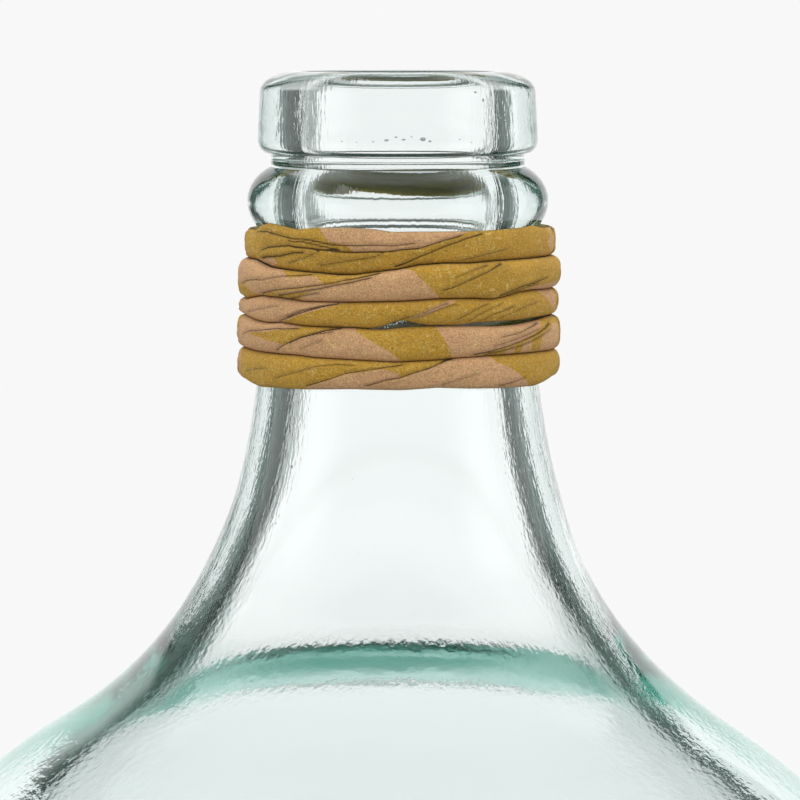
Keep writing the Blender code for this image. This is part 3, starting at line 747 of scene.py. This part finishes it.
def cord_mesh():
    """The cord's skin: sections along its path, with the two dyes and the painted shade of its creases, seams
    and inner face as attributes.
    """
    even = np.linspace(FIRST_TURN, LAST_TURN, PATH_SAMPLES)
    lengths = np.where(np.abs((even + 180.0) % 360.0 - 180.0) < FINE_REACH, FRONT_STEP, BACK_STEP)
    apart = math.radians(even[1] - even[0]) * WRAP_RADIUS
    passed = np.concatenate(([0.0], np.cumsum(apart / lengths[1:])))
    steps = int(passed[-1])
    turn = np.interp(np.linspace(0.0, passed[-1], steps + 1), passed, even)
    upper, lower = row_edges(UPPER_EDGES, turn), row_edges(LOWER_EDGES, turn)
    middle, half = (upper + lower) / 2, (lower - upper) / 2
    row = (turn + 180.0) / 360.0
    reach = np.interp(row, [0.5 + k for k in range(TURNS)], ROW_REACHES)
    power = 2.0 / SQUARENESS
    fine = np.linspace(-QUARTER, QUARTER, SECTION_SAMPLES)
    fine_rise = np.sign(fine) * np.abs(np.sin(fine)) ** power
    fine_bulge = np.clip(np.cos(fine), 0, 1) ** power
    pieces = np.hypot(np.diff(fine_rise), np.diff(fine_bulge) * SECTION_FLATNESS)
    round_arc = np.concatenate(([0.0], np.cumsum(pieces)))
    outer_places = np.linspace(0.0, round_arc[-1], OUTER_COLUMNS)
    inner_places = np.linspace(round_arc[-1], 0.0, INNER_COLUMNS + 2)[1:-1]
    rise = np.interp(np.concatenate((outer_places, inner_places)), round_arc, fine_rise)
    bulge = np.interp(np.concatenate((outer_places, inner_places)), round_arc, fine_bulge)
    bulge[OUTER_COLUMNS:] *= -1
    depth = middle[:, None] + half[:, None] * rise[None, :]
    along = np.radians(turn)[:, None] * WRAP_RADIUS + np.zeros_like(depth)
    down = HALF_ROW * rise[None, :] + np.zeros_like(depth)
    shown = bulge[None, :] >= 0
    seat = np.interp(depth, glass_depths, glass_radii) + SEAT_GAP
    waist = (seat + reach[:, None]) / 2
    short, long, other = (along / length for length in LUMP_LENGTHS)
    lumps = (np.sin(short + LUMP_WANDER * np.sin(long)) + np.sin(other + LUMP_SHIFT)) / 2
    radius = np.where(shown, waist + (reach[:, None] - waist + LUMP_DEPTH * lumps) * bulge,
                      waist + (waist - seat) * bulge)
    front = front_share(along)
    fold = np.zeros_like(depth)
    painted_shade = np.zeros_like(depth)
    lines = [(size, [on_cord(number, *pixel) for pixel in pixels], True) for number, size, pixels in CREASES]
    lines += [(size, points, False) for size, points in hidden_creases()]
    for size, points, seen in lines:
        picked = stretch(points, along, FOLD_MARGIN)
        if picked.stop - picked.start < 2:
            continue
        gap, share = line_distance(points, along[picked], down[picked])
        sign = 1.0 if size > 0 else -1.0
        deep = abs(size) * MM
        taper = np.clip(share / FOLD_TAPER, 0, 1) * np.clip((1 - share) / FOLD_TAPER, 0, 1)
        taper = eased(taper) * (front[picked] if seen else 1 - front[picked])
        near = eased(np.clip((gap * sign - FOLD_EDGE[0]) / (FOLD_EDGE[1] - FOLD_EDGE[0]), 0, 1))
        lip = FOLD_LIP * deep * np.exp(-(gap / FOLD_LIP_WIDTH) ** 2)
        sink = -deep * np.exp(-np.abs(gap) / FOLD_SINK_WIDTH)
        fold[picked] += taper * (sink + (lip - sink) * near)
        # A painted shade line: the colour is darkened along each crease, where shade sits in the fold.
        line = np.exp(-((gap + sign * LINE_SHIFT) / LINE_WIDTH) ** 2)
        painted_line_shade = min(1.0, LINE_DARKNESS + deep / LINE_DARKENING)
        painted_shade[picked] = np.maximum(painted_shade[picked], taper * painted_line_shade * line)
    # Painted shade: darker towards each row's seams, where the rows shade each other, and over the whole
    # inner face against the glass.
    seam_shade = np.clip(SEAM_SHADE - bulge / SEAM_SHADE_REACH, 0, 1)
    painted_shade = np.where(shown, np.maximum(painted_shade, seam_shade), INNER_FACE_SHADE)
    dye = np.full(depth.shape, FAR_FROM_PINK)
    blocks = [([on_cord(number, *pixel) for pixel in pixels], True) for number, pixels in PINK_BLOCKS]
    blocks += [(points, False) for points in hidden_pinks()]
    for points, seen in blocks:
        picked = stretch(points, along, DYE_MARGIN)
        if picked.stop - picked.start < 2:
            continue
        here = front[picked] if seen else 1 - front[picked]
        gap = np.where(here > 0.5, inside_distance(points, along[picked], down[picked]), FAR_FROM_PINK)
        dye[picked] = np.maximum(dye[picked], gap)
    radius = np.maximum(radius + np.where(shown, fold * np.clip(bulge * FOLD_FADE, 0, 1), 0.0), seat)
    azimuth = np.radians(turn)[:, None] - QUARTER
    corners = np.stack((radius * np.cos(azimuth), radius * np.sin(azimuth), TOP - depth), axis=-1)
    columns = len(rise)
    i, j = np.meshgrid(np.arange(steps), np.arange(columns), indexing="ij")
    right = (j + 1) % columns
    quads = np.stack((i * columns + j, i * columns + right,
                      (i + 1) * columns + right, (i + 1) * columns + j), axis=-1)
    faces = quads.reshape(-1, 4).tolist()
    faces += [tuple(range(columns))[::-1], tuple(range(steps * columns, (steps + 1) * columns))]
    mesh = bpy.data.meshes.new("twisted_paper_cord")
    mesh.from_pydata(corners.reshape(-1, 3).tolist(), [], faces)
    # Marks the inner face against the glass, which the material paints in olive shade.
    hidden = np.where(shown, 0.0, 1.0) + np.zeros_like(depth)
    for name, data in (("dye", dye), ("painted_crease_shade", painted_shade), ("hidden", hidden)):
        mesh.attributes.new(name, "FLOAT", "POINT").data.foreach_set("value", data.ravel())
    spread = np.where(shown, down, 2 * HALF_ROW * np.sign(rise) - down)
    strip = np.stack((along, spread, np.zeros_like(along)), axis=-1).reshape(-1, 3)
    mesh.attributes.new("strip", "FLOAT_VECTOR", "POINT").data.foreach_set("vector", strip.ravel())
    mesh.shade_smooth()
    return mesh


def dyed_paper():
    """Twisted paper dyed in two colours: dead matt, soft and fibrous, with painted shade darkening its folds
    and seams.

    Fibres 0.1 mm wide lie in every direction and raise a slight nap, with speckles of 0.3 mm between them.
    The side that is pressed to the glass is painted a dull olive, standing for the shaded paper seen through
    it.
    """
    paper, tree, shader = new_material("dyed_twisted_paper")
    shader.inputs["Roughness"].default_value = 0.92
    shader.inputs["Specular IOR Level"].default_value = 0.25
    shader.inputs["Sheen Weight"].default_value = 0.05
    shader.inputs["Sheen Roughness"].default_value = 0.6
    strip = add(tree, "ShaderNodeAttribute", attribute_name="strip").outputs["Vector"]
    dye, painted_crease_shade, hidden = (add(tree, "ShaderNodeAttribute", attribute_name=name).outputs["Fac"]
                           for name in ("dye", "painted_crease_shade", "hidden"))
    place = add(tree, "ShaderNodeTexCoord").outputs["Object"]
    grain = add(tree, "ShaderNodeTexNoise", [(place, "Vector")], Scale=SPECKLES_A_METRE, Detail=3.0,
                Roughness=0.65)
    cloud = add(tree, "ShaderNodeTexNoise", [(place, "Vector")], Scale=CLOUDS_A_METRE, Detail=4.0,
                Roughness=0.6)
    bleed = add(tree, "ShaderNodeMath", [(grain, 0), (dye, 2)], operation="MULTIPLY_ADD", input1=DYE_BLEED)
    # The painted shade lines, given ragged edges by the grain.
    frayed_painted_shade = add(tree, "ShaderNodeMath", [(grain, 0), (painted_crease_shade, 2)], operation="MULTIPLY_ADD", input1=0.3)
    part = {}
    # The dye border, the grain's speckle, and the painted shade: soft beside the folds and seams, and dark
    # along each crease line.
    for name, source, easing, start, end, low, high in (
            ("pink", bleed, "SMOOTHSTEP", DYE_BORDER[0], DYE_BORDER[1], 0.0, 1.0),
            ("speckle", grain, "LINEAR", 0.36, 0.64, 0.66, 1.34),
            ("shade", painted_crease_shade, "LINEAR", 0.0, 0.9, 0.0, 0.30),
            ("line", frayed_painted_shade, "SMOOTHSTEP", 0.92, 1.08, 0.0, 0.92)):
        part[name] = add(tree, "ShaderNodeMapRange", [(source, 0)], interpolation_type=easing,
                         From_Min=start, From_Max=end, To_Min=low, To_Max=high)
    fibres = []
    for across_a_metre, level, width, winding in ((700.0, 0.5, 0.035, 1.6), (430.0, 0.44, 0.022, 2.4)):
        web = add(tree, "ShaderNodeTexNoise", [(place, "Vector")], Scale=across_a_metre, Detail=0.0,
                  Distortion=winding)
        apart = add(tree, "ShaderNodeMath", [(web, 0)], operation="SUBTRACT", input1=level)
        apart = add(tree, "ShaderNodeMath", [(apart, 0)], operation="ABSOLUTE")
        fibres.append(add(tree, "ShaderNodeMapRange", [(apart, 0)], interpolation_type="SMOOTHSTEP",
                          From_Min=0.0, From_Max=width, To_Min=1.0, To_Max=0.0))
    strand = add(tree, "ShaderNodeMath", [(fibres[0], 0), (fibres[1], 1)], operation="MAXIMUM")
    strand_share = add(tree, "ShaderNodeMath", [(strand, 0)], operation="MULTIPLY", input1=0.6)
    # The share of painted shade: the darker of the soft shade beside the folds and the crease lines.
    painted_fold_shade = add(tree, "ShaderNodeMath", [(part["shade"], 0), (part["line"], 1)], operation="MAXIMUM")
    mustard, pink = (add(tree, "ShaderNodeMix", [(cloud, "Factor")], data_type="RGBA",
                         input6=linear(deep), input7=linear(faded)).outputs[2]
                     for deep, faded in (MUSTARD, PINK))
    dyed = add(tree, "ShaderNodeMix", [(part["pink"], "Factor"), (mustard, 6), (pink, 7)],
               data_type="RGBA").outputs[2]
    colour = add(tree, "ShaderNodeMix", [(dyed, 6), (part["speckle"], 7)], data_type="RGBA",
                 blend_type="MULTIPLY", input0=1.0).outputs[2]
    # Pale fibres, then the painted shade colour of the folds, then the painted olive shade of the side
    # against the glass.
    for share, tint in ((strand_share, PALE_FIBRE), (painted_fold_shade, FOLD_SHADE), (hidden, INNER_SIDE_PAINTED_SHADE)):
        colour = add(tree, "ShaderNodeMix", [(share, "Factor"), (colour, 6)], data_type="RGBA",
                     input7=linear(tint)).outputs[2]
    tree.links.new(colour, shader.inputs["Base Color"])
    twisted = add(tree, "ShaderNodeMapping", [(strip, "Vector")], Rotation=(0, 0, PLEAT_LAY),
                  Scale=PLEATS_A_METRE)
    pleat = add(tree, "ShaderNodeTexNoise", [(twisted, "Vector")], Scale=1.0, Detail=2.0, Roughness=0.5)
    nap = add(tree, "ShaderNodeMath", [(pleat, 0), (grain, 2)], operation="MULTIPLY_ADD", input1=1.6)
    lift = add(tree, "ShaderNodeMath", [(strand, 0), (nap, 2)], operation="MULTIPLY_ADD", input1=0.6)
    relief = add(tree, "ShaderNodeBump", [(lift, "Height")], Strength=0.8, Distance=NAP_HEIGHT)
    tree.links.new(relief.outputs[0], shader.inputs["Normal"])
    return paper


cord = bpy.data.objects.new("twisted_paper_cord", cord_mesh())
scene.collection.objects.link(cord)
cord.data.materials.append(dyed_paper())
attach(cord, "root")
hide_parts("cord_wrap")

# The glue: two small dabs of clear hot-melt adhesive at the back, one on each end of the cord.
# They are pressed from a glue gun, and look milky and waxy, with a soft wrinkled skin.
MILKY_WAX = ("#E6DFC8", "#F3EEDF")
WRINKLES_A_METRE = 500.0
WRINKLE_HEIGHT = 0.0002


def hot_melt():
    """Hot-melt adhesive: translucent EVA wax, milky where thick, with a soft sheen and a yellow cast."""
    wax, tree, shader = new_material("hot_melt_adhesive")
    place = add(tree, "ShaderNodeTexCoord").outputs["Object"]
    cloud = add(tree, "ShaderNodeTexNoise", [(place, "Vector")], Scale=WRINKLES_A_METRE, Detail=2.0)
    milky = add(tree, "ShaderNodeMix", [(cloud, "Factor")], data_type="RGBA",
                input6=linear(MILKY_WAX[0]), input7=linear(MILKY_WAX[1]))
    tree.links.new(milky.outputs[2], shader.inputs["Base Color"])
    shader.inputs["Roughness"].default_value = 0.32
    shader.inputs["Subsurface Weight"].default_value = 0.4
    shader.inputs["Subsurface Scale"].default_value = 0.002
    skin = add(tree, "ShaderNodeBump", [(cloud, "Height")], Strength=0.5, Distance=WRINKLE_HEIGHT)
    tree.links.new(skin.outputs[0], shader.inputs["Normal"])
    return wax


glue = hot_melt()
for name in ("glue_dab_start", "glue_dab_end"):
    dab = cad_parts[name]
    dab.data.materials.clear()
    dab.data.materials.append(glue)

# The floor: a plain pale disc of matt card that the bottle stands on, far below the photograph's frame.
# It fades out towards its edge, so that no horizon shows from other sides.
FLOOR_REACH = 0.5
FLOOR_DROP = 0.0005
FLOOR_FADE = (0.22, 0.45)
PALE_CARD = "#F1F1F0"
floor = bpy.data.objects.new("floor", bpy.data.meshes.new("floor"))
disc = bmesh.new()
bmesh.ops.create_circle(disc, cap_ends=True, segments=96, radius=FLOOR_REACH)
for corner in disc.verts:
    corner.co.z = -FLOOR_DROP
disc.to_mesh(floor.data)
disc.free()
scene.collection.objects.link(floor)
card, tree, shader = new_material("pale_matt_card")
shader.inputs["Base Color"].default_value = linear(PALE_CARD)
shader.inputs["Roughness"].default_value = 0.8
place = add(tree, "ShaderNodeTexCoord").outputs["Object"]
distance = add(tree, "ShaderNodeVectorMath", [(place, 0)], operation="LENGTH").outputs["Value"]
fade = add(tree, "ShaderNodeMapRange", [(distance, 0)], interpolation_type="SMOOTHSTEP",
           From_Min=FLOOR_FADE[0], From_Max=FLOOR_FADE[1], To_Min=1.0, To_Max=0.0)
tree.links.new(fade.outputs[0], shader.inputs["Alpha"])
floor.data.materials.append(card)

# The light: a white field behind the bottle, a dark flank on each side of it, a large soft light to the left
# and right that dims towards the camera, and a pale table all round below. Glass shows its shape by the dark
# flanks, which bend into its edges as dark bands. Matt surfaces get one even light, stronger from above.
# The edges and heights are in degrees, each from where its zone begins to where it is full.
FIELD_LIGHT = 0.939
FIELD_TURN = math.radians(4.75)
FIELD_ROLL = math.radians(22)
FIELD_EDGE = (28.2, 25.3)
FIELD_HEIGHT = (29, 22)
SIDE_EDGE = (61, 66)
SIDE_TOP = (44, 26)
CAMERA_GAP = (72, 50)
CAMERA_GAP_LIGHT = 0.2
FLANK_COLOURS = ("#74827D", "#36443F")
FLANK_HEIGHT = (5, 18)
FLANK_DEEPEST = (30, 45)
FLANK_DEEPENING = 0.6
TABLE_COLOUR = "#C6C7C6"
TABLE_EDGE = (8, 18)
GLASS_FIELD_LIGHT = 1.06
SOFT_LIGHT = (0.52, 1.22)
LIGHT_BOUNCES = 64
studio = bpy.data.worlds.new("studio")
scene.world = studio
studio.use_nodes = True
tree = studio.node_tree
direction = add(tree, "ShaderNodeTexCoord").outputs["Generated"]
height = add(tree, "ShaderNodeSeparateXYZ", [(direction, 0)]).outputs[2]
upright = add(tree, "ShaderNodeMath", [(height, 0)], operation="ABSOLUTE")
rolled = add(tree, "ShaderNodeVectorRotate", [(direction, "Vector")], rotation_type="Y_AXIS",
             Angle=FIELD_ROLL)
level_ways = []
for way in (direction, rolled):
    level = add(tree, "ShaderNodeVectorMath", [(way, 0)], operation="MULTIPLY", input1=(1, 1, 0))
    level_ways.append(add(tree, "ShaderNodeVectorMath", [(level, 0)], operation="NORMALIZE"))
back = add(tree, "ShaderNodeSeparateXYZ", [(level_ways[0], 0)]).outputs[1]
field_way = add(tree, "ShaderNodeVectorMath", [(level_ways[1], 0)], operation="DOT_PRODUCT",
                input1=(math.sin(FIELD_TURN), math.cos(FIELD_TURN), 0)).outputs["Value"]

# Each zone of the light, with the value that it follows, its soft edge, and what it goes from and to.
zones = {}
for name, value, measure, side, edge, low, high in (
        ("behind", field_way, math.cos, 1, FIELD_EDGE, 0.0, 1.0),
        ("within", upright, math.sin, 1, FIELD_HEIGHT, 0.0, 1.0),
        ("beside", back, math.cos, 1, SIDE_EDGE, 0.0, 1.0),
        ("below_top", height, math.sin, 1, SIDE_TOP, 0.0, 1.0),
        ("dimmer", back, math.cos, -1, CAMERA_GAP, 1.0, CAMERA_GAP_LIGHT),
        ("rising", height, math.sin, 1, FLANK_HEIGHT, 0.0, 1.0),
        ("deeper", field_way, math.cos, 1, FLANK_DEEPEST, 0.0, FLANK_DEEPENING),
        ("under", height, math.sin, -1, TABLE_EDGE, 0.0, 1.0)):
    start, full = (side * measure(math.radians(angle)) for angle in edge)
    zones[name] = add(tree, "ShaderNodeMapRange", [(value, 0)], interpolation_type="SMOOTHSTEP",
                      From_Min=start, From_Max=full, To_Min=low, To_Max=high)
field = add(tree, "ShaderNodeMath", [(zones["behind"], 0), (zones["within"], 1)], operation="MULTIPLY")
sides = add(tree, "ShaderNodeMath", [(zones["beside"], 0), (zones["below_top"], 1)], operation="MULTIPLY")
sides = add(tree, "ShaderNodeMath", [(sides, 0), (zones["dimmer"], 1)], operation="MULTIPLY")
lit = add(tree, "ShaderNodeMath", [(field, 0), (sides, 1)], operation="MAXIMUM")
in_glass = add(tree, "ShaderNodeMix", [(zones["rising"], "Factor")], data_type="RGBA",
               input6=linear(FLANK_COLOURS[0]), input7=linear(FLANK_COLOURS[1])).outputs[2]
for share, tint in ((zones["deeper"], linear("#000000")), (zones["under"], linear(TABLE_COLOUR)),
                    (lit, [GLASS_FIELD_LIGHT] * 3 + [1.0])):
    in_glass = add(tree, "ShaderNodeMix", [(share, "Factor"), (in_glass, 6)], data_type="RGBA",
                   input7=tint).outputs[2]
above = add(tree, "ShaderNodeMath", [(height, 0)], operation="MAXIMUM", input1=0.0)
on_matt = add(tree, "ShaderNodeMath", [(above, 0)], operation="MULTIPLY_ADD", input1=SOFT_LIGHT[1],
              input2=SOFT_LIGHT[0])
ray = add(tree, "ShaderNodeLightPath").outputs
light = add(tree, "ShaderNodeMix", [(ray["Is Singular Ray"], "Factor"), (on_matt, 6), (in_glass, 7)],
            data_type="RGBA").outputs[2]
shown = add(tree, "ShaderNodeMix", [(ray["Is Camera Ray"], "Factor"), (light, 6)], data_type="RGBA",
            input7=[FIELD_LIGHT] * 3 + [1.0]).outputs[2]
tree.links.new(shown, tree.nodes["Background"].inputs["Color"])
scene.view_settings.view_transform = "Standard"

# Enough bounces for light to cross the near and the far wall of the glass.
scene.cycles.max_bounces = LIGHT_BOUNCES
scene.cycles.transmission_bounces = LIGHT_BOUNCES
scene.cycles.glossy_bounces = LIGHT_BOUNCES
